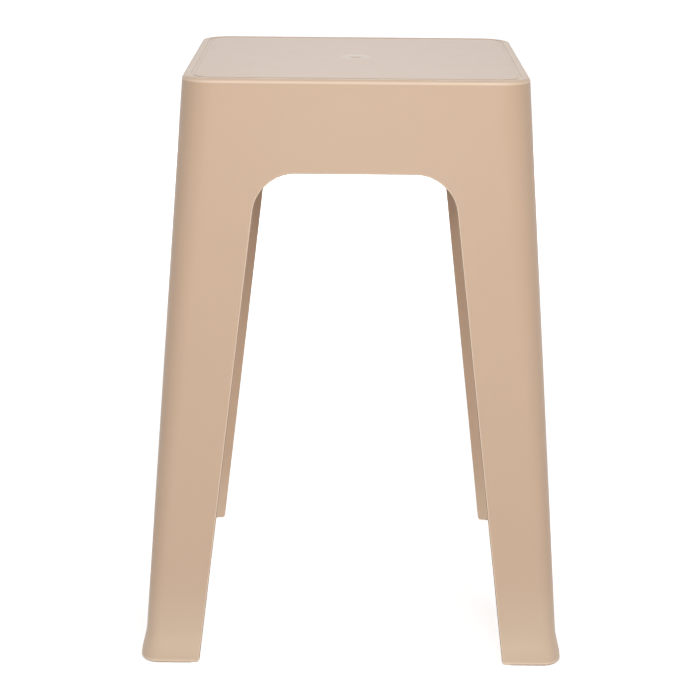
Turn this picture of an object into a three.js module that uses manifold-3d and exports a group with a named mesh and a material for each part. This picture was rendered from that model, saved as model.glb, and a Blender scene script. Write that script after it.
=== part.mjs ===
import * as THREE from 'three';
import { mergeVertices } from 'three/addons/utils/BufferGeometryUtils.js';
import Module from 'manifold-3d';

// Stacking stool, moulded in one piece, with an anti-slip pad pressed into the rim of each foot.
// Millimetres, Z up, X to the right, Y away from the front.
// The origin is on the floor below the middle of the seat.

// Overall shape: a square shell that widens towards the floor
const stoolHeight = 450;
const seatWidth = 259;
const floorWidth = 322.2;
const seatCornerRadius = 24;
const floorCornerRadius = 12;
const wallThickness = 3;

// Seat
const seatThickness = 3.5;
const seatEdgeRadius = 3.5;
const seatInnerEdgeRadius = 2.5;

// Groove that runs round the seat
const grooveInset = 6;
const grooveWidth = 3.4;
const grooveDepth = 0.7;
const grooveDraft = 0.5;

// Mark that the gate of the mould leaves in the middle of the seat
const gateRadius = 12;
const gateDepth = 0.5;
const gateNubRadius = 3.6;
const gateNubSink = 0.15;

// Arches between the legs, one in each side
const apronDepth = 69.6;
const legWidthAtSeat = 65.1;
const legWidthAtFloor = 43.2;
const archRadius = 32;
const footCornerRadius = 4;

// Feet, which flare out over their last stretch
const flareDepth = 2.7;
const flareTop = 26;
const flareFull = 3.5;
const rimEdgeRadius = 1.2;

// Anti-slip pads, an L-shaped strip in a slot of each foot's rim
const padWidth = 3;
const padProud = 0.8;
const padSink = 4;
const padEndInset = 2.5;
const padChamfer = 0.4;
const padClearance = 0.3;

// Ribs below the seat
const ribThickness = 2;
const ribDepth = 10;
const ribRoot = 1;
const hubRadius = 22;
const squareRibWidth = 150;
const squareRibRadius = 20;

// Stops in the corners, which hold one stool off the next in a stack
const nestGap = 3.3;
const stopThickness = 3;
const stopLength = 26;
const stopBendRadius = 8;
const stopDraft = 2;

// Overrun of every cut past the face that it opens
const overrun = 5;

// Fineness of the rounded shapes, as steps in a quarter turn or along a curve
const cornerSteps = 10;
const edgeSteps = 5;
const flareSteps = 6;
const archSteps = 12;
const bendSteps = 4;
const hubSteps = 40;

// Colours
const shellColour = 0xd8bb9c;
const padColour = 0xb9a288;

// Sizes that follow from the ones above
const wallSlope = (floorWidth - seatWidth) / 2 / stoolHeight;
const archTop = stoolHeight - apronDepth;
const rimHeight = padProud;
const seatUnderside = stoolHeight - seatThickness;
const ribBottom = seatUnderside - ribDepth;
const stackPitch = wallThickness / wallSlope + nestGap;
const stopBottom = stoolHeight - stackPitch;
const quarterTurn = Math.PI / 2;
const fullTurn = Math.PI * 2;

const wasm = await Module();
wasm.setup();

function solidFrom(geometry) {
  const bare = geometry.clone();
  bare.deleteAttribute('normal');
  bare.deleteAttribute('uv');
  const merged = mergeVertices(bare);
  const vertProperties = new Float32Array(merged.attributes.position.array);
  const triVerts = new Uint32Array(merged.index.array);
  return new wasm.Manifold(new wasm.Mesh({ numProp: 3, vertProperties, triVerts }));
}

function geometryFrom(solid) {
  const mesh = solid.getMesh();
  const geometry = new THREE.BufferGeometry();
  geometry.setAttribute('position', new THREE.BufferAttribute(mesh.vertProperties, 3));
  geometry.setIndex(new THREE.BufferAttribute(mesh.triVerts, 1));
  geometry.computeVertexNormals();
  return geometry;
}

// Half the width over the outer faces, and the corner radius there, at a height above the floor
function wallHalf(z) {
  return THREE.MathUtils.lerp(floorWidth, seatWidth, z / stoolHeight) / 2;
}

function wallRadius(z) {
  return THREE.MathUtils.lerp(floorCornerRadius, seatCornerRadius, z / stoolHeight);
}

// Half the width of the arch at a height above the floor
function archHalf(z) {
  return wallHalf(z) - THREE.MathUtils.lerp(legWidthAtFloor, legWidthAtSeat, z / stoolHeight);
}

// A level cross-section of the shell, offset outwards by grow
function wallSection(z, grow) {
  return { z, half: wallHalf(z) + grow, radius: wallRadius(z) + grow };
}

// The points of a rounded square, counter-clockwise seen from above
function squareRing({ z, half, radius }) {
  const points = [];
  for (let corner = 0; corner < 4; corner++) {
    for (let step = 0; step <= cornerSteps; step++) {
      const angle = (corner + step / cornerSteps) * quarterTurn;
      const middle = (corner + 1 / 2) * quarterTurn;
      const offset = half - radius;
      const x = Math.sign(Math.cos(middle)) * offset + radius * Math.cos(angle);
      const y = Math.sign(Math.sin(middle)) * offset + radius * Math.sin(angle);
      points.push(x, y, z);
    }
  }
  return points;
}

// A skin through level rounded squares. An open loft gets a flat cap at each end,
// and a closed one joins its last section to its first, which makes a ring.
function loft(sections, closed = false) {
  const count = 4 * (cornerSteps + 1);
  const index = [];
  const bands = closed ? sections.length : sections.length - 1;
  for (let band = 0; band < bands; band++) {
    const low = band * count;
    const high = ((band + 1) % sections.length) * count;
    for (let point = 0; point < count; point++) {
      const next = (point + 1) % count;
      index.push(low + point, low + next, high + next);
      index.push(low + point, high + next, high + point);
    }
  }
  if (!closed) {
    const top = (sections.length - 1) * count;
    for (let point = 1; point < count - 1; point++) {
      index.push(0, point + 1, point);
      index.push(top, top + point, top + point + 1);
    }
  }
  const geometry = new THREE.BufferGeometry();
  const positions = sections.flatMap(squareRing);
  geometry.setAttribute('position', new THREE.Float32BufferAttribute(positions, 3));
  geometry.setIndex(index);
  return solidFrom(geometry);
}

// The level sections of a rounded edge between the leaning wall and the flat face at topZ
function edgeSections(topZ, radius, grow) {
  const lean = Math.atan(wallSlope);
  const tangentZ = topZ - radius + radius * Math.sin(lean);
  const wall = wallSection(tangentZ, grow);
  const sections = [];
  for (let step = 0; step <= edgeSteps; step++) {
    const angle = THREE.MathUtils.lerp(lean, quarterTurn, step / edgeSteps);
    const inset = radius * (Math.cos(lean) - Math.cos(angle));
    const z = topZ - radius + radius * Math.sin(angle);
    sections.push({ z, half: wall.half - inset, radius: wall.radius - inset });
  }
  return sections;
}

// The level sections of a foot, from its rim up to where the flare has died out
function footSections() {
  const sections = [];
  for (let step = 0; step <= edgeSteps; step++) {
    const angle = (1 - step / edgeSteps) * quarterTurn;
    const z = rimHeight + rimEdgeRadius * (1 - Math.sin(angle));
    const inset = rimEdgeRadius * (1 - Math.cos(angle));
    sections.push(wallSection(z, flareDepth - inset));
  }
  for (let step = 0; step <= flareSteps; step++) {
    const z = THREE.MathUtils.lerp(flareFull, flareTop, step / flareSteps);
    const share = (1 + Math.cos(Math.PI * step / flareSteps)) / 2;
    sections.push(wallSection(z, flareDepth * share));
  }
  return sections;
}

// A closed outline through corner points, each rounded by its own radius
function roundedOutline(corners, steps) {
  const points = [];
  corners.forEach(({ x, y, radius = 0 }, place) => {
    const corner = new THREE.Vector2(x, y);
    if (radius === 0) {
      points.push(corner);
      return;
    }
    const before = corners.at(place - 1);
    const after = corners[(place + 1) % corners.length];
    const back = new THREE.Vector2(before.x, before.y).sub(corner).normalize();
    const ahead = new THREE.Vector2(after.x, after.y).sub(corner).normalize();
    const halfAngle = Math.acos(back.dot(ahead)) / 2;
    const bisector = back.clone().add(ahead).normalize();
    const centre = corner.clone().addScaledVector(bisector, radius / Math.sin(halfAngle));
    const reach = radius / Math.tan(halfAngle);
    const first = corner.clone().addScaledVector(back, reach).sub(centre);
    const last = corner.clone().addScaledVector(ahead, reach).sub(centre);
    const turn = Math.atan2(first.cross(last), first.dot(last));
    for (let step = 0; step <= steps; step++) {
      const arm = first.clone().rotateAround(new THREE.Vector2(), turn * step / steps);
      points.push(arm.add(centre));
    }
  });
  return new THREE.Shape(points);
}

// A prism that stands on its outline, between two heights
function uprightPrism(shape, low, high) {
  const geometry = new THREE.ExtrudeGeometry(shape, { depth: high - low, bevelEnabled: false });
  return solidFrom(geometry.translate(0, 0, low));
}

// A prism whose outline is drawn along a level direction and Z, centred on its own middle plane
// and turned about Z
function sidewaysPrism(shape, thickness, turn) {
  const geometry = new THREE.ExtrudeGeometry(shape, { depth: thickness, bevelEnabled: false });
  geometry.translate(0, 0, -thickness / 2);
  geometry.rotateX(quarterTurn);
  return solidFrom(geometry.rotateZ(turn));
}

// The shell without its arches: outer skin less the hollow that the core of the mould leaves
function emptyShell() {
  const skin = loft([...footSections(), ...edgeSections(stoolHeight, seatEdgeRadius, 0)]);
  return skin.subtract(hollow(0));
}

// The hollow, or with grow above zero a block that reaches into the walls and the seat by that much
function hollow(grow) {
  const offset = grow - wallThickness;
  return loft([
    wallSection(rimHeight - overrun, offset),
    ...edgeSections(seatUnderside + grow, seatInnerEdgeRadius, offset),
  ]);
}

// The arch and the rounded lower corners of the two legs beside it, seen square on
function archCut(turn) {
  const outside = archHalf(rimHeight) + 2 * footCornerRadius;
  const right = [
    { x: outside, y: rimHeight - overrun },
    { x: outside, y: rimHeight },
    { x: archHalf(rimHeight), y: rimHeight, radius: footCornerRadius },
    { x: archHalf(archTop), y: archTop, radius: archRadius },
  ];
  const left = right.map((corner) => ({ ...corner, x: -corner.x })).reverse();
  const length = floorWidth + 2 * (flareDepth + overrun);
  return sidewaysPrism(roundedOutline([...right, ...left], archSteps), length, turn);
}

// The groove round the seat, as a ring with drafted sides
function seatGroove() {
  const outer = -grooveInset;
  const inner = -grooveInset - grooveWidth;
  const level = (z, grow) => {
    const seat = wallSection(stoolHeight, grow);
    return { ...seat, z };
  };
  return loft([
    level(stoolHeight - grooveDepth, outer - grooveDraft),
    level(stoolHeight, outer),
    level(stoolHeight + overrun, outer),
    level(stoolHeight + overrun, inner),
    level(stoolHeight, inner),
    level(stoolHeight - grooveDepth, inner + grooveDraft),
  ], true);
}

// The dished mark in the middle of the seat, with a flat nub left standing in it
function gateMark() {
  const profile = [
    new THREE.Vector2(0, -gateNubSink),
    new THREE.Vector2(gateNubRadius, -gateNubSink),
    new THREE.Vector2(gateNubRadius, -gateDepth),
    new THREE.Vector2(gateRadius, 0),
    new THREE.Vector2(gateRadius, overrun),
    new THREE.Vector2(0, overrun),
  ];
  const geometry = new THREE.LatheGeometry(profile, hubSteps);
  return solidFrom(geometry.rotateX(quarterTurn).translate(0, 0, stoolHeight));
}

// One straight rib from the hub to the middle of a side
function sideRib(turn) {
  const shape = new THREE.Shape([
    new THREE.Vector2(hubRadius, ribBottom),
    new THREE.Vector2(seatWidth / 2, ribBottom),
    new THREE.Vector2(seatWidth / 2, seatUnderside + ribRoot),
    new THREE.Vector2(hubRadius, seatUnderside + ribRoot),
  ]);
  return sidewaysPrism(shape, ribThickness, turn);
}

// One diagonal rib from the hub into a corner, where it drops to form a stacking stop
function cornerRib(turn) {
  const corner = wallSection(stopBottom, -wallThickness);
  const diagonal = (corner.half - corner.radius) * Math.SQRT2 + corner.radius;
  const stopInside = diagonal - stopLength;
  const shape = roundedOutline([
    { x: hubRadius, y: ribBottom },
    { x: stopInside - stopDraft, y: ribBottom, radius: stopBendRadius },
    { x: stopInside, y: stopBottom },
    { x: diagonal + ribRoot, y: stopBottom },
    { x: diagonal + ribRoot, y: seatUnderside + ribRoot },
    { x: hubRadius, y: seatUnderside + ribRoot },
  ], bendSteps);
  return sidewaysPrism(shape, stopThickness, turn);
}

// The round hub below the gate
function hub() {
  const outline = (radius) => new THREE.Path().absarc(0, 0, radius, 0, fullTurn);
  const ring = new THREE.Shape(outline(hubRadius + ribThickness / 2).getPoints(hubSteps));
  ring.holes.push(outline(hubRadius - ribThickness / 2));
  const geometry = new THREE.ExtrudeGeometry(ring, {
    depth: seatUnderside + ribRoot - ribBottom,
    bevelEnabled: false,
    curveSegments: hubSteps,
  });
  return solidFrom(geometry.translate(0, 0, ribBottom));
}

// The rounded square rib half way out
function squareRib() {
  const level = (z, grow) => ({ z, half: squareRibWidth / 2 + grow, radius: squareRibRadius + grow });
  const top = seatUnderside + ribRoot;
  return loft([
    level(ribBottom, ribThickness / 2),
    level(top, ribThickness / 2),
    level(top, -ribThickness / 2),
    level(ribBottom, -ribThickness / 2),
  ], true);
}

// The L of a foot's rim, at the left front corner. The strip's half width is measured
// from the middle of the rim, and its ends lie inset from the foot's rounded corner.
function rimOutline(stripHalf, endInset) {
  const middle = (flareDepth - wallThickness) / 2;
  const outer = wallSection(rimHeight, middle + stripHalf);
  const inner = wallSection(rimHeight, middle - stripHalf);
  const end = archHalf(rimHeight) + footCornerRadius + endInset;
  return roundedOutline([
    { x: -end, y: -outer.half },
    { x: -end, y: -inner.half },
    { x: -inner.half, y: -inner.half, radius: inner.radius },
    { x: -inner.half, y: -end },
    { x: -outer.half, y: -end },
    { x: -outer.half, y: -outer.half, radius: outer.radius },
  ], cornerSteps);
}

function padSlot() {
  const outline = rimOutline(padWidth / 2 + padClearance, padEndInset - padClearance);
  return uprightPrism(outline, rimHeight - overrun, rimHeight + padSink + padClearance);
}

function padGeometry() {
  return new THREE.ExtrudeGeometry(rimOutline(padWidth / 2, padEndInset), {
    depth: padProud + padSink - 2 * padChamfer,
    bevelThickness: padChamfer,
    bevelSize: padChamfer,
    bevelOffset: -padChamfer,
    bevelSegments: 1,
  }).translate(0, 0, padChamfer);
}

function stoolShell() {
  let ribs = hub().add(squareRib());
  let shell = emptyShell();
  for (let side = 0; side < 4; side++) {
    const turn = side * quarterTurn;
    ribs = ribs.add(sideRib(turn)).add(cornerRib(turn + quarterTurn / 2));
  }
  shell = shell.add(ribs.intersect(hollow(ribRoot)));
  shell = shell.subtract(archCut(0)).subtract(archCut(quarterTurn));
  shell = shell.subtract(seatGroove()).subtract(gateMark());
  const slot = padSlot();
  for (let side = 0; side < 4; side++) {
    shell = shell.subtract(slot.rotate([0, 0, side * 90]));
  }
  return geometryFrom(shell);
}

const shellPlastic = new THREE.MeshStandardMaterial({
  color: shellColour,
  roughness: 0.42,
  metalness: 0,
  flatShading: true,
});
const padRubber = new THREE.MeshStandardMaterial({
  color: padColour,
  roughness: 0.85,
  metalness: 0,
  flatShading: true,
});

const stool = new THREE.Group();
const shellMesh = new THREE.Mesh(stoolShell(), shellPlastic);
shellMesh.name = 'stool_shell';
stool.add(shellMesh);

const footNames = ['front_left', 'front_right', 'rear_right', 'rear_left'];
footNames.forEach((foot, side) => {
  const pad = new THREE.Mesh(padGeometry(), padRubber);
  pad.name = `foot_pad_${foot}`;
  pad.rotation.z = side * quarterTurn;
  stool.add(pad);
});

export default stool;
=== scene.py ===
import math
import bmesh
import bpy
from mathutils import Matrix, Vector


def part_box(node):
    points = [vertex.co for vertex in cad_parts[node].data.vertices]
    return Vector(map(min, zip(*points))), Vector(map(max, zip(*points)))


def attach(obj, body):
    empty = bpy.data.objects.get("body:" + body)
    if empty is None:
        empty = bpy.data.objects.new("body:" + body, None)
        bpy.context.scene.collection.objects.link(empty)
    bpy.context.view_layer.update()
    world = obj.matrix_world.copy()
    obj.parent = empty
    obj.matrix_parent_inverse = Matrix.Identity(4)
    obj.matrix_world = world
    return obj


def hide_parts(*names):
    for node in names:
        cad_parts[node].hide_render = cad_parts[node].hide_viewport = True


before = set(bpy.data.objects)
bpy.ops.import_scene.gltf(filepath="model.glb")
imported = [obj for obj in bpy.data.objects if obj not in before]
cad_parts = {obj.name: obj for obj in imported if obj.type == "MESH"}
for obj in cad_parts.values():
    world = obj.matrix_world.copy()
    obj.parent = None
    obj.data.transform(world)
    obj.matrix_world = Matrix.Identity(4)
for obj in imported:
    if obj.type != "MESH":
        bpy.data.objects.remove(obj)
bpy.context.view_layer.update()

# A monobloc stacking stool. Sizes are in millimetres, in the frame's own axes, and meshes are
# written in metres. The front is towards -Y.
MM = 0.001
shell_low, shell_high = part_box("stool_shell")
HEIGHT = shell_high[2] / MM
RIM = shell_low[2] / MM

# Shell. The seat's edge, the foot's corner and the groove's depth are a little tighter than in the
# solids, as the photograph shows them.
SEAT_HALF = 129.5
FLOOR_HALF = 161.1
SEAT_CORNER = 24
FLOOR_CORNER = 12
WALL = 3
SEAT_THICKNESS = 3.5
SEAT_EDGE = 2.5
SEAT_INNER_EDGE = 2.5
APRON = 69.6
LEG_AT_SEAT = 65.1
LEG_AT_FLOOR = 43.2
ARCH_RADIUS = 32
FOOT_CORNER = 2.6
FLARE = 2.7
FLARE_TOP = 26
FLARE_FULL = 3.5

# Rounding of the edge that runs round the arches and below the feet, outside and inside, and the
# distance from any rounded edge to the row of faces that keeps the surface beside it flat
RIM_OUTER = 1.3
RIM_INNER = 0.7
SUPPORT = 0.35

# Groove round the seat, as distances in from the wall and depths
GROOVE_OUT = 6
GROOVE_WIDTH = 3.4
GROOVE_DEPTH = 0.6
GROOVE_DRAFT = 0.5
GROOVE_EDGE = 0.28

# Gate mark in the middle of the seat: a soft hollow round a small flat nub, inside a round field
GATE_RADIUS = 12
GATE_DEPTH = 0.5
NUB_RADIUS = 3.6
NUB_SINK = 0.15
GATE_SOFTNESS = 9
GATE_FIELD = 20

# Ribs below the seat, and the stacking stops that the corner ribs end in. Ribs reach a little way
# into the shell, so that they join.
RIB_ROOT_THICKNESS = 2.3
RIB_TIP_THICKNESS = 1.8
RIB_DEPTH = 10
RIB_EMBED = 1
HUB_RADIUS = 22
SQUARE_RIB_HALF = 75
SQUARE_RIB_CORNER = 20
STOP_THICKNESS = 3
STOP_LENGTH = 26
STOP_DRAFT = 2
STOP_BEND = 8
STOP_TIP = 1
NEST_GAP = 3.3

# Anti-slip pads in slots in the feet
PAD_WIDTH = 3
PAD_SINK = 4
PAD_END_INSET = 3.9
PAD_EDGE = 0.5
PAD_GAP = 0.3

# Fineness, as numbers of steps
FOOT_STEPS = 4
FLARE_ROWS = 18
LEG_ROWS = 34
ARCH_STEPS = 28
ARCH_FLAT_STEPS = 8
FOOT_LINE_STEPS = 8
CORNER_STEPS = 12
FILLET_STEPS = 5
TOP_EDGE_STEPS = 9
FIELD_STEPS = 8
GROOVE_STEPS = 3
GATE_STEPS = 4
HUB_STEPS = 64
SQUARE_RIB_STEPS = 10
STOP_STEPS = 6
PAD_STEPS = 14

# Meshes: the distances at which points merge and slivers collapse, and the angle from which an edge
# is shaded as sharp
MERGE = 0.004
SLIVER = 0.01
SHARP_ANGLE = math.radians(32)

ARCH_TOP = HEIGHT - APRON
UNDERSIDE = HEIGHT - SEAT_THICKNESS
WALL_SLOPE = (FLOOR_HALF - SEAT_HALF) / HEIGHT
LEAN = math.atan(WALL_SLOPE)
STOP_BOTTOM = HEIGHT - WALL / WALL_SLOPE - NEST_GAP
QUARTER = math.pi / 2


def mix(a, b, share):
    return a + (b - a) * share


def mix_points(a, b, share):
    return tuple(mix(u, v, share) for u, v in zip(a, b))


def steps(count, start=0):
    """Shares from start/count to 1 in even steps."""
    return [step / count for step in range(start, count + 1)]


def wall_half(z):
    """Half the width over the walls' outer faces, without the flare."""
    return mix(FLOOR_HALF, SEAT_HALF, z / HEIGHT)


def wall_radius(z):
    return mix(FLOOR_CORNER, SEAT_CORNER, z / HEIGHT)


def flat_end(z):
    """Where the flat side ends and the round corner begins."""
    return wall_half(z) - wall_radius(z)


def arch_half(z):
    """Half the width between two legs, on the line of their slanted edges."""
    return wall_half(z) - mix(LEG_AT_FLOOR, LEG_AT_SEAT, z / HEIGHT)


def flare(z):
    """How far a foot stands out from the line of its wall."""
    share = (FLARE_TOP - z) / (FLARE_TOP - FLARE_FULL)
    share = min(max(share, 0), 1)
    return FLARE * (1 - math.cos(math.pi * share)) / 2


def on_wall(spot, grow, corner_z=None):
    """The point of the front wall, right of its middle, at a spot (across, corner angle, z).
    grow moves it off the outer face, and corner_z is the height that the corner is taken from."""
    across, angle, z = spot
    level = z if corner_z is None else corner_z
    centre = flat_end(level)
    radius = wall_radius(level) + grow
    x = centre + radius * math.sin(angle) if angle > 0 else across
    return (x, -(centre + radius * math.cos(angle)), z)


# The slanted inner edge of the leg, as a unit normal that points into the leg
EDGE_SLOPE = (arch_half(HEIGHT) - arch_half(0)) / HEIGHT
EDGE_LENGTH = math.hypot(1, EDGE_SLOPE)
EDGE_NORMAL = (1 / EDGE_LENGTH, -EDGE_SLOPE / EDGE_LENGTH)
EDGE_ANGLE = math.atan2(EDGE_NORMAL[1], EDGE_NORMAL[0])


def foot_fillet(share, inset):
    """The rounded lower corner of a leg, from the floor line to the slanted edge."""
    z = RIM + FOOT_CORNER
    across = arch_half(z) + FOOT_CORNER * EDGE_LENGTH
    angle = mix(-QUARTER, EDGE_ANGLE - math.pi, share)
    radius = FOOT_CORNER - inset
    return (across + radius * math.cos(angle), z + radius * math.sin(angle))


def arch_fillet(share, inset):
    """The rounded upper corner of the arch, from the slanted edge to the apron's lower edge."""
    z = ARCH_TOP - ARCH_RADIUS
    across = arch_half(z) - ARCH_RADIUS * EDGE_LENGTH
    angle = mix(EDGE_ANGLE, QUARTER, share)
    radius = ARCH_RADIUS + inset
    return (across + radius * math.cos(angle), z + radius * math.sin(angle))


def inner_edge(inset):
    """The edge of the leg and the arch, from the middle of the foot's rounded corner
    to the middle of the apron, as points (across, z)."""
    points = [foot_fillet(mix(1 / 2, 1, share), inset) for share in steps(FOOT_STEPS)]
    low = foot_fillet(1, 0)[1]
    high = arch_fillet(0, 0)[1]
    levels = [mix(low, FLARE_TOP, share) for share in steps(FLARE_ROWS, 1)]
    levels += [mix(FLARE_TOP, high, share) for share in steps(LEG_ROWS, 1)][:-1]
    for z in levels:
        points.append((arch_half(z) + inset * EDGE_NORMAL[0], z + inset * EDGE_NORMAL[1]))
    points += [arch_fillet(share, inset) for share in steps(ARCH_STEPS)]
    last = points[-1]
    points += [(last[0] * (1 - share), last[1]) for share in steps(ARCH_FLAT_STEPS, 1)]
    return points


def floor_edge(inset):
    """The lower edge of the foot's flat side, from the middle of its rounded corner outwards."""
    points = [foot_fillet(mix(1 / 2, 0, share), inset) for share in steps(FOOT_STEPS)]
    last = points[-1]
    end = (flat_end(RIM + inset), RIM + inset)
    return points + [mix_points(last, end, share) for share in steps(FOOT_LINE_STEPS, 1)]


ARCH_START = FOOT_STEPS + FLARE_ROWS + LEG_ROWS
ROW_SPLIT = ARCH_START + ARCH_STEPS // 2
CORNER_ANGLES = [share * QUARTER / 2 for share in steps(CORNER_STEPS)]


def far_side(edge, inset, top):
    """For each point of the inner edge, the point that its row of the mesh runs to: up the line
    where the corner begins, then along the top of the wall to its middle."""
    far = []
    for place, (across, z) in enumerate(edge):
        if place <= FOOT_STEPS:
            z = mix(RIM + inset, edge[FOOT_STEPS][1], place / FOOT_STEPS)
            far.append((flat_end(z), z))
        elif place <= ARCH_START:
            far.append((flat_end(z), z))
        elif place <= ROW_SPLIT:
            share = (place - ARCH_START) / (ROW_SPLIT - ARCH_START)
            z = mix(edge[ARCH_START][1], top, share)
            far.append((flat_end(z), z))
        elif place <= ARCH_START + ARCH_STEPS:
            share = (place - ROW_SPLIT) / (ARCH_START + ARCH_STEPS - ROW_SPLIT)
            far.append((mix(flat_end(top), edge[ARCH_START + ARCH_STEPS][0], share), top))
        else:
            far.append((across, top))
    return far


def wall_patches(inset, top, grow):
    """The wall's flat side and its round corner, as two grids of points. Rows near the floor take
    on the rounding of the foot's lower corner, which fades out above it."""
    edge = inner_edge(inset)
    floor_line = floor_edge(inset)
    far = far_side(edge, inset, top)
    span = floor_line[-1][0] - floor_line[0][0]
    flat = []
    for place, (near, end) in enumerate(zip(edge, far)):
        fade = max(0, 1 - (near[1] - edge[0][1]) / (2 * FOOT_CORNER))
        row = []
        for point in floor_line:
            share = (point[0] - floor_line[0][0]) / span
            base = mix_points(floor_line[0], floor_line[-1], share)
            across, z = mix_points(near, end, share)
            across += fade * (point[0] - base[0])
            z += fade * (point[1] - base[1])
            row.append(on_wall((across, 0, z), grow(z)))
        flat.append(row)
    corner = []
    for across, z in far[:ROW_SPLIT + 1]:
        corner.append([on_wall((across, angle, z), grow(z)) for angle in CORNER_ANGLES])
    return [flat, corner]


def rounding(radius):
    """Points of a rounded edge as (distance from the edge line, depth below the face)."""
    angles = [share * QUARTER for share in steps(FILLET_STEPS)]
    return [(radius * (1 - math.sin(a)), radius * (1 - math.cos(a))) for a in angles]


def rim_patch():
    """The narrow face between the outer and the inner skin, with its two rounded edges."""
    rows = []

    def add_row(inset, grow):
        z = RIM + inset
        corner = [(flat_end(z), angle, z) for angle in reversed(CORNER_ANGLES[1:])]
        line = [(across, 0, z) for across, z in reversed(floor_edge(inset)[1:])]
        edge = [(across, 0, z) for across, z in inner_edge(inset)]
        rows.append([on_wall(spot, grow(spot[2])) for spot in corner + line + edge])

    outer = [(RIM_OUTER + SUPPORT, 0)] + rounding(RIM_OUTER)
    inner = [(RIM_INNER + SUPPORT, 0)] + rounding(RIM_INNER)
    for inset, depth in outer:
        add_row(inset, lambda z: flare(z) - depth)
    add_row(0, lambda z: (flare(z) - WALL) / 2)
    for inset, depth in reversed(inner):
        add_row(inset, lambda z: depth - WALL)
    return rows


def rounded(corners, count):
    """An outline through points (u, v, radius), with each corner rounded by its radius."""
    result = []
    for place, (u, v, radius) in enumerate(corners):
        corner = Vector((u, v))
        if radius == 0:
            result.append(corner)
            continue
        before = corners[place - 1]
        after = corners[(place + 1) % len(corners)]
        back = (Vector(before[:2]) - corner).normalized()
        ahead = (Vector(after[:2]) - corner).normalized()
        half_angle = back.angle(ahead) / 2
        centre = corner + (back + ahead).normalized() * (radius / math.sin(half_angle))
        reach = radius / math.tan(half_angle)
        first = corner + back * reach - centre
        turn = first.angle_signed(corner + ahead * reach - centre)
        for share in steps(count):
            result.append(centre + first @ Matrix.Rotation(turn * share, 2))
    return result


def top_columns(top):
    """The ends of the wall's rows along its top, from the middle of the side to the corner."""
    edge = inner_edge(0)
    far = far_side(edge, 0, top)
    columns = [(across, 0) for across, z in reversed(far[ROW_SPLIT:])]
    return columns + [(flat_end(top), angle) for angle in CORNER_ANGLES[1:]]


def lean_end(face, radius):
    """The height at which the leaning wall goes over into the rounded edge of a level face."""
    return face - radius + radius * math.sin(LEAN)


def top_edge(face, radius, offset):
    """Levels (z, grow) of the rounded edge below a level face."""
    levels = []
    for share in steps(TOP_EDGE_STEPS):
        angle = mix(LEAN, QUARTER, share)
        inset = radius * (math.cos(LEAN) - math.cos(angle))
        levels.append((face - radius + radius * math.sin(angle), offset - inset))
    return levels


def ring(columns, top, z, grow):
    """One level line of the seat's edge, grow away from the walls' outer face."""
    return [on_wall((across, angle, z), grow, top) for across, angle in columns]


def circle(outline, radius, z):
    """The points of a level circle that lie in the same directions as those of an outline."""
    points = []
    for x, y, _ in outline:
        length = math.hypot(x, y)
        points.append((x * radius / length, y * radius / length, z))
    return points


def face_field(outline, radius, z):
    """Rings that turn the outline of a level face into a circle."""
    target = circle(outline, radius, z)
    rings = []
    for share in steps(FIELD_STEPS, 1):
        rings.append([mix_points(a, b, share) for a, b in zip(outline, target)])
    return rings


def seat_top():
    """The rounded edge of the seat, its groove, the flat field and the gate mark."""
    lean_top = lean_end(HEIGHT, SEAT_EDGE)
    columns = top_columns(lean_top)
    levels = top_edge(HEIGHT, SEAT_EDGE, 0)
    outside = levels[-1][1] - SUPPORT
    groove = [
        (outside, HEIGHT, 0),
        (-GROOVE_OUT, HEIGHT, GROOVE_EDGE),
        (-GROOVE_OUT - GROOVE_DRAFT, HEIGHT - GROOVE_DEPTH, GROOVE_EDGE),
        (-GROOVE_OUT - GROOVE_WIDTH + GROOVE_DRAFT, HEIGHT - GROOVE_DEPTH, GROOVE_EDGE),
        (-GROOVE_OUT - GROOVE_WIDTH, HEIGHT, GROOVE_EDGE),
        (-GROOVE_OUT - GROOVE_WIDTH - SUPPORT, HEIGHT, 0),
    ]
    levels += [(z, grow) for grow, z in rounded(groove, GROOVE_STEPS)]
    rings = [ring(columns, lean_top, z, grow) for z, grow in levels]
    rings += face_field(rings[-1], GATE_FIELD, HEIGHT)
    gate = [
        (GATE_FIELD, HEIGHT, 0),
        (GATE_RADIUS, HEIGHT, GATE_SOFTNESS),
        (NUB_RADIUS + GROOVE_EDGE, HEIGHT - GATE_DEPTH, GROOVE_EDGE),
        (NUB_RADIUS, HEIGHT - NUB_SINK, GROOVE_EDGE / 2),
        (NUB_RADIUS - SUPPORT, HEIGHT - NUB_SINK, 0),
    ]
    for radius, z in rounded(gate, GATE_STEPS)[1:]:
        rings.append(circle(rings[-1], radius, z))
    return rings, (0, 0, HEIGHT - NUB_SINK)


def seat_underside():
    """The rounded inner edge of the seat and its flat underside."""
    lean_top = lean_end(UNDERSIDE, SEAT_INNER_EDGE)
    columns = top_columns(lean_top)
    levels = top_edge(UNDERSIDE, SEAT_INNER_EDGE, -WALL)
    levels.append((UNDERSIDE, levels[-1][1] - SUPPORT))
    rings = [ring(columns, lean_top, z, grow) for z, grow in levels]
    rings += face_field(rings[-1], HUB_RADIUS / 2, UNDERSIDE)
    return rings, (0, 0, UNDERSIDE)


def add_grid(mesh, rows, turn):
    """Adds a grid of points as quads, in the place that a transform gives it."""
    verts = [[mesh.verts.new(turn @ Vector(point) * MM) for point in row] for row in rows]
    for low, high in zip(verts, verts[1:]):
        for place in range(len(low) - 1):
            mesh.faces.new((low[place], low[place + 1], high[place + 1], high[place]))


def add_fan(mesh, row, centre, turn):
    """Closes a ring with triangles to its centre."""
    middle = mesh.verts.new(turn @ Vector(centre) * MM)
    verts = [mesh.verts.new(turn @ Vector(point) * MM) for point in row]
    for a, b in zip(verts, verts[1:]):
        mesh.faces.new((a, b, middle))


def side_turn(side):
    return Matrix.Rotation(side * QUARTER, 3, "Z")


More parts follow.
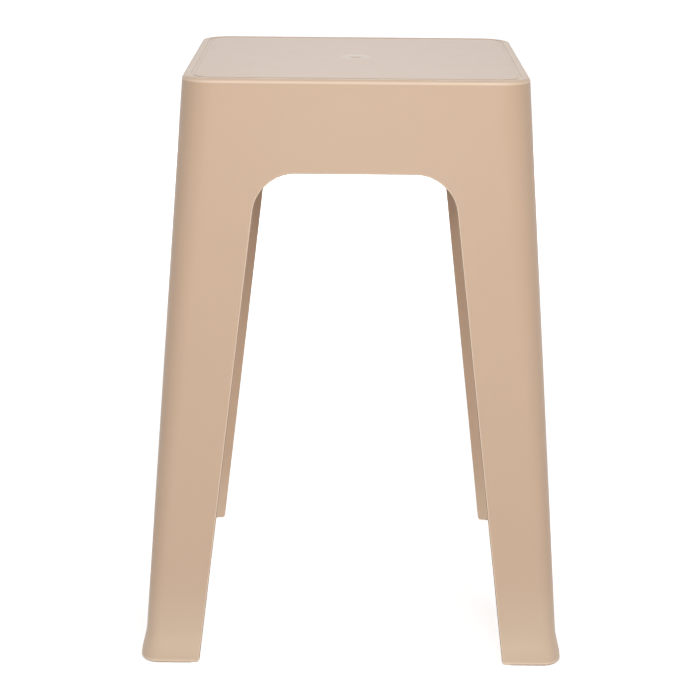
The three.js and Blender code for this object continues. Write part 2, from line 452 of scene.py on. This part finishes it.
def eighths():
    """The transforms from one eighth of the square shell to all eight."""
    for side in range(4):
        turn = side_turn(side)
        yield turn
        yield turn @ Matrix.Diagonal((-1, 1, 1))


def smooth(piece):
    piece.data.shade_smooth()
    piece.data.set_sharp_from_angle(angle=SHARP_ANGLE)


def finish_mesh(mesh, name):
    """Merges, orients and smooths a mesh, and returns its object."""
    bmesh.ops.remove_doubles(mesh, verts=mesh.verts, dist=MERGE * MM)
    bmesh.ops.recalc_face_normals(mesh, faces=mesh.faces)
    data = bpy.data.meshes.new(name)
    mesh.to_mesh(data)
    mesh.free()
    piece = bpy.data.objects.new(name, data)
    bpy.context.scene.collection.objects.link(piece)
    smooth(piece)
    return piece


def shell_skin():
    """The whole surface of the moulding, without the ribs and slots."""
    mesh = bmesh.new()
    outer_top = lean_end(HEIGHT, SEAT_EDGE)
    inner_top = lean_end(UNDERSIDE, SEAT_INNER_EDGE)
    grids = wall_patches(RIM_OUTER + SUPPORT, outer_top, flare)
    grids += wall_patches(RIM_INNER + SUPPORT, inner_top, lambda z: -WALL)
    grids.append(rim_patch())
    top_rings, top_centre = seat_top()
    under_rings, under_centre = seat_underside()
    for turn in eighths():
        for grid in grids + [top_rings, under_rings]:
            add_grid(mesh, grid, turn)
        add_fan(mesh, top_rings[-1], top_centre, turn)
        add_fan(mesh, under_rings[-1], under_centre, turn)
    return finish_mesh(mesh, "stool_shell_skin")


def thickness_at(z, root, tip):
    """A rib's thickness, from its root at the seat to its tip."""
    share = (UNDERSIDE - z) / RIB_DEPTH
    return mix(root, tip, min(max(share, 0), 1))


def add_upright(mesh, outline, root, tip, turn):
    """A rib whose outline is drawn along a level direction and Z, thinner at its tip."""
    sides = []
    for hand in (-1, 1):
        row = []
        for along, z in outline:
            half = thickness_at(z, root, tip) / 2
            point = turn @ Vector((along, hand * half, z))
            row.append(mesh.verts.new(point * MM))
        sides.append(row)
    count = len(outline)
    for place in range(count):
        after = (place + 1) % count
        mesh.faces.new((sides[0][place], sides[0][after], sides[1][after], sides[1][place]))
    mesh.faces.new(sides[0])
    mesh.faces.new(sides[1])


def side_rib_outline():
    """A rib from the hub to the middle of a side, with sharp corners."""
    out = wall_half(UNDERSIDE) - WALL + RIB_EMBED
    return rounded([
        (HUB_RADIUS, UNDERSIDE - RIB_DEPTH, 0),
        (out, UNDERSIDE - RIB_DEPTH, 0),
        (out, UNDERSIDE + RIB_EMBED, 0),
        (HUB_RADIUS, UNDERSIDE + RIB_EMBED, 0),
    ], 1)


def corner_rib_outline():
    """A diagonal rib with the stacking stop that it ends in."""
    def wall_diagonal(z):
        radius = wall_radius(z) - WALL
        return (wall_half(z) - WALL - radius) * math.sqrt(2) + radius

    low = wall_diagonal(STOP_BOTTOM)
    inside = low - STOP_LENGTH
    return rounded([
        (HUB_RADIUS, UNDERSIDE - RIB_DEPTH, 0),
        (inside - STOP_DRAFT, UNDERSIDE - RIB_DEPTH, STOP_BEND),
        (inside, STOP_BOTTOM, STOP_TIP),
        (low + RIB_EMBED, STOP_BOTTOM, 0),
        (wall_diagonal(UNDERSIDE) + RIB_EMBED, UNDERSIDE + RIB_EMBED, 0),
        (HUB_RADIUS, UNDERSIDE + RIB_EMBED, 0),
    ], STOP_STEPS)


def add_ring_rib(mesh, ring_points):
    """A rib that follows a closed level line. ring_points gives the line offset by a distance."""
    top = UNDERSIDE + RIB_EMBED
    low = UNDERSIDE - RIB_DEPTH
    tip = RIB_TIP_THICKNESS / 2
    root = RIB_ROOT_THICKNESS / 2
    sections = [(low, tip), (UNDERSIDE, root), (top, root),
                (top, -root), (UNDERSIDE, -root), (low, -tip)]
    rows = []
    for z, offset in sections:
        rows.append([mesh.verts.new(Vector((x, y, z)) * MM) for x, y in ring_points(offset)])
    for place, row in enumerate(rows):
        after = rows[(place + 1) % len(rows)]
        for spot in range(len(row)):
            following = (spot + 1) % len(row)
            mesh.faces.new((row[spot], row[following], after[following], after[spot]))


def hub_line(offset):
    radius = HUB_RADIUS + offset
    turns = [share * 4 * QUARTER for share in steps(HUB_STEPS)][:-1]
    return [(radius * math.cos(turn), radius * math.sin(turn)) for turn in turns]


def square_line(offset):
    half = SQUARE_RIB_HALF + offset
    radius = SQUARE_RIB_CORNER + offset
    corners = ((half, -half), (half, half), (-half, half), (-half, -half))
    return rounded([(x, y, radius) for x, y in corners], SQUARE_RIB_STEPS)


def solid(name, build):
    mesh = bmesh.new()
    build(mesh)
    return finish_mesh(mesh, name)


def combine(piece, other, operation):
    """Joins or cuts a piece with another object, which is then removed."""
    step = piece.modifiers.new("combine", "BOOLEAN")
    step.operation = operation
    step.object = other
    step.solver = "EXACT"
    bpy.context.view_layer.update()
    graph = bpy.context.evaluated_depsgraph_get()
    result = bpy.data.meshes.new_from_object(piece.evaluated_get(graph))
    piece.modifiers.remove(step)
    old = piece.data
    piece.data = result
    bpy.data.meshes.remove(old)
    data = other.data
    bpy.data.objects.remove(other)
    bpy.data.meshes.remove(data)


def clear_slivers(piece):
    """Collapses the tiny edges and faces that joins and cuts leave."""
    mesh = bmesh.new()
    mesh.from_mesh(piece.data)
    bmesh.ops.remove_doubles(mesh, verts=mesh.verts, dist=SLIVER * MM)
    bmesh.ops.dissolve_degenerate(mesh, edges=mesh.edges, dist=SLIVER * MM)
    mesh.to_mesh(piece.data)
    mesh.free()


def rib_set():
    """All ribs and stops as one object."""
    ribs = solid("ribs", lambda mesh: add_ring_rib(mesh, hub_line))
    combine(ribs, solid("square_rib", lambda mesh: add_ring_rib(mesh, square_line)), "UNION")
    for side in range(4):
        turn = side_turn(side)
        outline = side_rib_outline()
        combine(ribs, solid("side_rib", lambda mesh: add_upright(
            mesh, outline, RIB_ROOT_THICKNESS, RIB_TIP_THICKNESS, turn)), "UNION")
        diagonal = turn @ Matrix.Rotation(QUARTER / 2, 3, "Z")
        corner = corner_rib_outline()
        combine(ribs, solid("corner_rib", lambda mesh: add_upright(
            mesh, corner, STOP_THICKNESS, STOP_THICKNESS, diagonal)), "UNION")
    return ribs


def rim_outline(strip_half, end_inset):
    """The L of the foot's rim at the left front corner, in half widths from the rim's middle."""
    middle = (FLARE - WALL) / 2
    out = wall_half(RIM) + middle + strip_half
    inside = wall_half(RIM) + middle - strip_half
    out_radius = wall_radius(RIM) + middle + strip_half
    inside_radius = wall_radius(RIM) + middle - strip_half
    end = arch_half(RIM) + FOOT_CORNER + end_inset
    return rounded([
        (-end, -out, 0),
        (-end, -inside, 0),
        (-inside, -inside, inside_radius),
        (-inside, -end, 0),
        (-out, -end, 0),
        (-out, -out, out_radius),
    ], PAD_STEPS)


def add_strip(mesh, levels, turn):
    """A strip in a foot's rim, as a loft through levels (z, strip half width, end inset)."""
    rows = []
    for z, strip_half, end_inset in levels:
        outline = rim_outline(strip_half, end_inset)
        rows.append([mesh.verts.new(turn @ Vector((x, y, z)) * MM) for x, y in outline])
    for low, high in zip(rows, rows[1:]):
        for spot in range(len(low)):
            following = (spot + 1) % len(low)
            mesh.faces.new((low[spot], low[following], high[following], high[spot]))
    mesh.faces.new(rows[0])
    mesh.faces.new(rows[-1])


def slots():
    """The slots for the pads, to be cut from the feet."""
    half = PAD_WIDTH / 2 + PAD_GAP
    inset = PAD_END_INSET - PAD_GAP
    levels = [(0, half, inset), (RIM + PAD_SINK + PAD_GAP, half, inset)]
    mesh = bmesh.new()
    for side in range(4):
        add_strip(mesh, levels, side_turn(side))
    return finish_mesh(mesh, "slots")


def pad(name, side):
    """A pad with soft lower and upper edges."""
    half = PAD_WIDTH / 2
    top = RIM + PAD_SINK
    levels = [(0, half - PAD_EDGE - SUPPORT, PAD_END_INSET + PAD_EDGE + SUPPORT)]
    for inset, depth in reversed(rounding(PAD_EDGE)):
        levels.append((inset, half - depth, PAD_END_INSET + depth))
    for inset, depth in rounding(PAD_EDGE):
        levels.append((top - inset, half - depth, PAD_END_INSET + depth))
    mesh = bmesh.new()
    add_strip(mesh, levels, side_turn(side))
    return finish_mesh(mesh, name)


class Nodes:
    """A material or world whose nodes are added and linked by short calls."""

    def __init__(self, owner):
        owner.use_nodes = True
        self.tree = owner.node_tree
        self.tree.nodes.clear()

    def add(self, kind, settings=None, **inputs):
        node = self.tree.nodes.new(kind)
        for key, value in (settings or {}).items():
            setattr(node, key, value)
        for key, value in inputs.items():
            socket = node.inputs[key.replace("_", " ")]
            if isinstance(value, bpy.types.NodeSocket):
                self.tree.links.new(value, socket)
            else:
                socket.default_value = value
        return node

    def math(self, operation, *values):
        node = self.tree.nodes.new("ShaderNodeMath")
        node.operation = operation
        for socket, value in zip(node.inputs, values):
            if isinstance(value, bpy.types.NodeSocket):
                self.tree.links.new(value, socket)
            else:
                socket.default_value = value
        return node.outputs[0]


def srgb(red, green, blue):
    """A colour written in the usual 0 to 255 steps, as the linear values that shaders take."""
    def linear(value):
        value /= 255
        return value / 12.92 if value <= 0.04045 else ((value + 0.055) / 1.055) ** 2.4
    return (linear(red), linear(green), linear(blue), 1)


# Tints of the plastic, all of them painted light. A band or height gives the centre of a tint in
# millimetres, then the distances from it within which the tint is full and at which it ends. The
# pale ring round the gate is a painted sheen, with a share towards the stool's sides that is lower
# than towards its front and back. The edge colour is a painted highlight along the seat's rounded
# edge, the rims' rounded edges and the feet's lower edges; the rims' narrow faces get painted
# shade, and the legs are paler towards the floor, as painted light from the floor. RIM_HEIGHT keeps
# the tints of the rims off the seat.
# Painted sheen: a pale ring round the gate, stronger towards the stool's front and back than its
# sides
GATE_SHEEN_COLOUR = srgb(216, 198, 180)
GATE_SHEEN_BAND = (9.5, 1.2, 4.5)
GATE_SHEEN_ASIDE = 0.3
# Painted highlights in the edge colour, with a painted sheen above them on the seat's rounded edge
EDGE_HIGHLIGHT_COLOUR = srgb(236, 212, 189)
SEAT_HIGHLIGHT_BAND = (0, GROOVE_OUT - 0.8, GROOVE_OUT - 0.2)
SEAT_SHEEN_HEIGHT = (HEIGHT - 1.4, 1, 1.4)
SEAT_SHEEN_SHARE = 0.45
# Painted highlight low on the seat's rounded edge
SEAT_GLEAM_HEIGHT = (HEIGHT - 2.3, 0.4, 1.2)
SEAT_GLEAM_SHARE = 0.75
RIM_HEIGHT = (0, HEIGHT - 8, HEIGHT - 6)
# Painted highlights along the rims' rounded edges and the feet's lower edges
RIM_HIGHLIGHT_BAND = (0.16, 0.11, 0.145)
FOOT_HIGHLIGHT_HEIGHT = (RIM + RIM_OUTER + 0.3, 0.35, 0.9)
FOOT_HIGHLIGHT_BAND = (0, 0.4, 0.6)
# Painted shade on the narrow faces of the rims
RIM_SHADE_BAND = (0.7, 0.35, 0.45)
RIM_SHADE_COLOUR = srgb(162, 136, 114)
# Painted light from the floor: the legs paler towards the floor, fading out 85 mm up
FOOT_FLOOR_LIGHT_COLOUR = srgb(216, 191, 166)
FOOT_FLOOR_LIGHT_BAND = (0, 0, 85)


def band(nodes, value, centre, full, gone):
    """1 where a length is within one distance of a centre, fading to 0 at another. Millimetres."""
    offset = nodes.math("ABSOLUTE", nodes.math("SUBTRACT", value, centre * MM))
    return nodes.add("ShaderNodeMapRange", {"interpolation_type": "SMOOTHSTEP"}, Value=offset,
                     From_Min=full * MM, From_Max=gone * MM, To_Min=1, To_Max=0).outputs[0]


def along_height(nodes, height, low, high):
    """A length that goes evenly from one value at the floor to another at the seat."""
    return nodes.add("ShaderNodeMapRange", {"clamp": False}, Value=height, From_Max=HEIGHT * MM,
                     To_Min=low * MM, To_Max=high * MM).outputs[0]


def skin_depth(nodes, place, height):
    """How far a point lies inside the outer face of the walls."""
    core = along_height(nodes, height, FLOOR_HALF - FLOOR_CORNER, SEAT_HALF - SEAT_CORNER)
    radius = along_height(nodes, height, FLOOR_CORNER, SEAT_CORNER)
    turn = nodes.add("ShaderNodeMapRange", Value=height, From_Min=FLARE_FULL * MM,
                     From_Max=FLARE_TOP * MM, To_Max=math.pi).outputs[0]
    half_flare = FLARE * MM / 2
    spread = nodes.math("MULTIPLY_ADD", nodes.math("COSINE", turn), half_flare, half_flare)
    cores = nodes.add("ShaderNodeCombineXYZ", X=core, Y=core, Z=HEIGHT * MM).outputs[0]
    aside = nodes.add("ShaderNodeVectorMath", {"operation": "ABSOLUTE"}, Vector=place).outputs[0]
    beyond = nodes.add("ShaderNodeVectorMath", {"operation": "SUBTRACT"}, Vector=aside)
    nodes.tree.links.new(cores, beyond.inputs[1])
    outside = nodes.add("ShaderNodeVectorMath", {"operation": "MAXIMUM"}, Vector=beyond.outputs[0])
    length = nodes.add("ShaderNodeVectorMath", {"operation": "LENGTH"}, Vector=outside.outputs[0])
    return nodes.math("SUBTRACT", nodes.math("ADD", radius, spread), length.outputs["Value"])


def tint(nodes, share, below, colour):
    """Lays a colour over another by a share."""
    layer = nodes.add("ShaderNodeMix", {"data_type": "RGBA"})
    nodes.tree.links.new(share, layer.inputs["Factor"])
    nodes.tree.links.new(below, layer.inputs[6])
    layer.inputs[7].default_value = colour
    return layer.outputs[2]


def painted_light(nodes, place, colour):
    """Painted light on the moulding: a painted sheen round the gate, painted light from the floor
    on the feet, painted highlights along the rounded edges, and painted shade on the narrow faces
    of the rims."""
    axes = nodes.add("ShaderNodeSeparateXYZ", Vector=place)
    height = axes.outputs["Z"]
    depth = skin_depth(nodes, place, height)
    walls = band(nodes, height, *RIM_HEIGHT)
    middle = nodes.add("ShaderNodeVectorMath", {"operation": "DISTANCE"}, Vector=place)
    middle.inputs[1].default_value = (0, 0, HEIGHT * MM)
    reach = middle.outputs["Value"]
    # Painted sheen round the gate, stronger towards the front and back than towards the sides
    forward = nodes.math("DIVIDE", nodes.math("ABSOLUTE", axes.outputs["Y"]), reach)
    lengthwise = nodes.math("MULTIPLY_ADD", forward, 1 - GATE_SHEEN_ASIDE, GATE_SHEEN_ASIDE)
    gate_sheen = nodes.math("MULTIPLY", band(nodes, reach, *GATE_SHEEN_BAND), lengthwise)
    # Painted highlight and painted sheen on the seat's rounded edge, painted highlights on the rims
    # and feet
    gleam = nodes.math("MULTIPLY", band(nodes, height, *SEAT_GLEAM_HEIGHT), SEAT_GLEAM_SHARE)
    seat_sheen = nodes.math("MULTIPLY", band(nodes, height, *SEAT_SHEEN_HEIGHT), SEAT_SHEEN_SHARE)
    seat_highlight = nodes.math("MULTIPLY", band(nodes, depth, *SEAT_HIGHLIGHT_BAND),
                           nodes.math("MAXIMUM", gleam, seat_sheen))
    foot_highlight = nodes.math("MULTIPLY", band(nodes, height, *FOOT_HIGHLIGHT_HEIGHT),
                           band(nodes, depth, *FOOT_HIGHLIGHT_BAND))
    rim_highlight = nodes.math("MULTIPLY", band(nodes, depth, *RIM_HIGHLIGHT_BAND), walls)
    # Painted shade on the rims' narrow faces
    rim_shade = nodes.math("MULTIPLY", band(nodes, depth, *RIM_SHADE_BAND), walls)
    colour = tint(nodes, gate_sheen, colour, GATE_SHEEN_COLOUR)
    # Painted light from the floor, paler towards the feet's bottoms
    colour = tint(nodes, band(nodes, height, *FOOT_FLOOR_LIGHT_BAND), colour, FOOT_FLOOR_LIGHT_COLOUR)
    colour = tint(nodes, rim_shade, colour, RIM_SHADE_COLOUR)
    # All the painted highlights, laid on in the edge colour
    edges = nodes.math("MAXIMUM", nodes.math("MAXIMUM", seat_highlight, rim_highlight), foot_highlight)
    return tint(nodes, edges, colour, EDGE_HIGHLIGHT_COLOUR)


# Plastic. Scales are in features per metre and depths in millimetres.
CLOUD_SCALE = 9
GLOSS_SCALE = 55
GLOSS_SPREAD = (0.3, 0.7)
GRAIN_STRENGTH = 0.5
PEEL_SCALE = 130
PEEL_STRENGTH = 0.35
PEEL_DEPTH = 0.1
PLASTIC_IOR = 1.45


def plastic(name, colours, roughness, grain_scale, grain_depth, marks=None):
    """Moulded plastic: clouds between two colours, gloss that varies, a fine grain over a soft
    unevenness. marks is a function that adds to its colour."""
    material = bpy.data.materials.new(name)
    nodes = Nodes(material)
    place = nodes.add("ShaderNodeTexCoord").outputs["Object"]
    cloud = nodes.add("ShaderNodeTexNoise", Vector=place, Scale=CLOUD_SCALE, Detail=3,
                      Roughness=0.5)
    ramp = nodes.add("ShaderNodeMix", {"data_type": "RGBA"})
    nodes.tree.links.new(cloud.outputs[0], ramp.inputs["Factor"])
    ramp.inputs[6].default_value, ramp.inputs[7].default_value = colours
    colour = ramp.outputs[2]
    if marks:
        colour = marks(nodes, place, colour)
    patches = nodes.add("ShaderNodeTexNoise", Vector=place, Scale=GLOSS_SCALE, Detail=4,
                        Roughness=0.6)
    gloss = nodes.add("ShaderNodeMapRange", From_Min=GLOSS_SPREAD[0], From_Max=GLOSS_SPREAD[1],
                      To_Min=roughness[0], To_Max=roughness[1], Value=patches.outputs[0])
    grain = nodes.add("ShaderNodeTexNoise", Vector=place, Scale=grain_scale, Detail=2,
                      Roughness=0.6)
    peel = nodes.add("ShaderNodeTexNoise", Vector=place, Scale=PEEL_SCALE, Detail=1,
                     Roughness=0.4)
    fine = nodes.add("ShaderNodeBump", Strength=GRAIN_STRENGTH, Distance=grain_depth * MM,
                     Height=grain.outputs[0])
    coarse = nodes.add("ShaderNodeBump", Strength=PEEL_STRENGTH, Distance=PEEL_DEPTH * MM,
                       Height=peel.outputs[0], Normal=fine.outputs[0])
    shader = nodes.add("ShaderNodeBsdfPrincipled", Base_Color=colour,
                       Roughness=gloss.outputs[0], Normal=coarse.outputs[0])
    shader.inputs["IOR"].default_value = PLASTIC_IOR
    nodes.add("ShaderNodeOutputMaterial", Surface=shader.outputs[0])
    return material


# Floor and surroundings, in metres. The glow of the floor and the strength of the world are 1 where
# they are plain white. The floor glows by FLOOR_GLOW as a light, and by FLOOR_SHOWN to the camera
# and FLOOR_MIRRORED in gloss, each from a value near the stool to one far from it.
FLOOR_REACH = 20
FLOOR_CELLS = 8
FLOOR_TONE = (0.84, 0.86)
FLOOR_CLOUD_SCALE = 4
FLOOR_GLOW = 0.1
FLOOR_SHOWN = (0.62, 1.0)
FLOOR_MIRRORED = (0.45, 0.75)
FLOOR_NEAR = 0.5
FLOOR_FAR = 2.5
WORLD_LIGHT = 0.12


def white_rays(nodes):
    """1 for the rays that show the surroundings as they look, 0 for those that only light things,
    and the same for the rays of gloss and glass alone."""
    path = nodes.add("ShaderNodeLightPath")
    mirrored = nodes.math("MAXIMUM", path.outputs["Is Glossy Ray"],
                          path.outputs["Is Transmission Ray"])
    return nodes.math("MAXIMUM", mirrored, path.outputs["Is Camera Ray"]), mirrored


def floor_material():
    """White floor with a soft glow of its own, which keeps the stool's shadow. Seen from below it
    is clear, so that the underside of the stool can be looked at."""
    material = bpy.data.materials.new("pale_floor")
    nodes = Nodes(material)
    place = nodes.add("ShaderNodeTexCoord").outputs["Object"]
    cloud = nodes.add("ShaderNodeTexNoise", Vector=place, Scale=FLOOR_CLOUD_SCALE, Detail=2)
    tone = nodes.add("ShaderNodeMapRange", To_Min=FLOOR_TONE[0], To_Max=FLOOR_TONE[1],
                     Value=cloud.outputs[0])
    colour = nodes.add("ShaderNodeCombineColor", Red=tone.outputs[0], Green=tone.outputs[0],
                       Blue=tone.outputs[0])
    diffuse = nodes.add("ShaderNodeBsdfDiffuse", Color=colour.outputs[0])
    distance = nodes.add("ShaderNodeVectorMath", {"operation": "LENGTH"}, Vector=place)
    shown_rays, mirrored_rays = white_rays(nodes)
    near, far = [
        nodes.add("ShaderNodeMapRange", Value=mirrored_rays, To_Min=shown, To_Max=mirrored)
        for shown, mirrored in zip(FLOOR_SHOWN, FLOOR_MIRRORED)]
    shown = nodes.add("ShaderNodeMapRange", {"interpolation_type": "SMOOTHSTEP"},
                      Value=distance.outputs["Value"], From_Min=FLOOR_NEAR, From_Max=FLOOR_FAR,
                      To_Min=near.outputs[0], To_Max=far.outputs[0])
    glow = nodes.add("ShaderNodeMapRange", Value=shown_rays, To_Min=FLOOR_GLOW,
                     To_Max=shown.outputs[0])
    light = nodes.add("ShaderNodeEmission", Strength=glow.outputs[0])
    lit = nodes.add("ShaderNodeAddShader")
    nodes.tree.links.new(diffuse.outputs[0], lit.inputs[0])
    nodes.tree.links.new(light.outputs[0], lit.inputs[1])
    below = nodes.add("ShaderNodeNewGeometry").outputs["Backfacing"]
    clear = nodes.add("ShaderNodeBsdfTransparent")
    both = nodes.add("ShaderNodeMixShader", Fac=below)
    nodes.tree.links.new(lit.outputs[0], both.inputs[1])
    nodes.tree.links.new(clear.outputs[0], both.inputs[2])
    nodes.add("ShaderNodeOutputMaterial", Surface=both.outputs[0])
    return material


def white_world():
    """Plain white surroundings, dimmer as a light than as a background."""
    world = bpy.data.worlds.new("studio")
    bpy.context.scene.world = world
    nodes = Nodes(world)
    strength = nodes.add("ShaderNodeMapRange", Value=white_rays(nodes)[0], To_Min=WORLD_LIGHT,
                         To_Max=1.0)
    back = nodes.add("ShaderNodeBackground", Strength=strength.outputs[0])
    back.inputs["Color"].default_value = (1, 1, 1, 1)
    nodes.add("ShaderNodeOutputWorld", Surface=back.outputs[0])


# Lamps, all at one distance in metres from the point that they are aimed at: name, degrees right
# of the front, degrees above that point, width in metres, watts, and whether gloss mirrors it. One
# that isn't mirrored lights things without a gleam.
LAMP_AIM = (0, 0, 0.25)
LAMP_DISTANCE = 2.3
LAMPS = (
    ("left_key_light", -24, 35, 0.62, 11.6, True),
    ("right_key_light", 24, 35, 0.62, 15.5, True),
    ("front_light", 8, 28, 0.62, 6.5, True),
    ("low_front_light", 0, 4, 0.42, 2.3, True),
    ("rear_light", 180, 36, 1.1, 4.6, True),
    ("rear_left_fill", -130, 30, 0.8, 6.5, False),
    ("rear_right_fill", 130, 30, 0.8, 6.5, False),
    ("back_fill", 180, 10, 0.8, 9, False),
)


def softbox(name, azimuth, elevation, size, power, mirrored):
    """A round soft lamp, aimed at the stool."""
    turn, rise = math.radians(azimuth), math.radians(elevation)
    level = LAMP_DISTANCE * math.cos(rise)
    place = (level * math.sin(turn), -level * math.cos(turn),
             LAMP_AIM[2] + LAMP_DISTANCE * math.sin(rise))
    light = bpy.data.lights.new(name, "AREA")
    light.shape = "DISK"
    light.size = size
    light.energy = power
    lamp = bpy.data.objects.new(name, light)
    lamp.location = place
    lamp.rotation_euler = (Vector(LAMP_AIM) - Vector(place)).to_track_quat("-Z", "Y").to_euler()
    lamp.visible_glossy = mirrored
    bpy.context.scene.collection.objects.link(lamp)


# The photograph's camera, fitted to the stool's outline. Its place and sensor are in millimetres,
# and the distances that it sees between are in metres.
CAMERA_PLACE = (-2.8, -1611.6, 661.3)
CAMERA_PITCH = math.radians(15.711)
CAMERA_ROLL = math.radians(0.523)
FOCAL_PIXELS = 2025
PHOTO_PIXELS = 700
SENSOR = 36
CAMERA_CLIP = (0.01, 100)


def photo_camera():
    data = bpy.data.cameras.new("photo_camera")
    data.sensor_width = SENSOR
    data.lens = SENSOR * FOCAL_PIXELS / PHOTO_PIXELS
    data.clip_start, data.clip_end = CAMERA_CLIP
    camera = bpy.data.objects.new("photo_camera", data)
    look = Matrix.Rotation(QUARTER - CAMERA_PITCH, 4, "X") @ Matrix.Rotation(CAMERA_ROLL, 4, "Z")
    camera.matrix_world = Matrix.Translation(Vector(CAMERA_PLACE) * MM) @ look
    bpy.context.scene.collection.objects.link(camera)
    bpy.context.scene.camera = camera


def floor():
    mesh = bmesh.new()
    bmesh.ops.create_grid(mesh, x_segments=FLOOR_CELLS, y_segments=FLOOR_CELLS, size=FLOOR_REACH)
    data = bpy.data.meshes.new("floor")
    mesh.to_mesh(data)
    mesh.free()
    piece = bpy.data.objects.new("floor", data)
    bpy.context.scene.collection.objects.link(piece)
    data.materials.append(floor_material())


def dress(piece, material, node):
    """Gives a piece its material and its place in the part."""
    piece.data.materials.clear()
    piece.data.materials.append(material)
    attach(piece, "root")
    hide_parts(node)


shell_plastic = plastic("beige_moulded_plastic", (srgb(204, 174, 148), srgb(207, 177, 151)),
                        roughness=(0.29, 0.32), grain_scale=2200, grain_depth=0.02, marks=painted_light)
pad_rubber = plastic("anti_slip_pad", (srgb(186, 163, 139), srgb(192, 169, 145)),
                     roughness=(0.75, 0.9), grain_scale=1400, grain_depth=0.05)

shell = shell_skin()
combine(shell, rib_set(), "UNION")
combine(shell, slots(), "DIFFERENCE")
clear_slivers(shell)
smooth(shell)
dress(shell, shell_plastic, "stool_shell")
for side, foot in enumerate(("front_left", "front_right", "rear_right", "rear_left")):
    dress(pad(f"pad_{foot}", side), pad_rubber, f"foot_pad_{foot}")

floor()
white_world()
for lamp in LAMPS:
    softbox(*lamp)
photo_camera()
bpy.context.scene.view_settings.view_transform = "Standard"
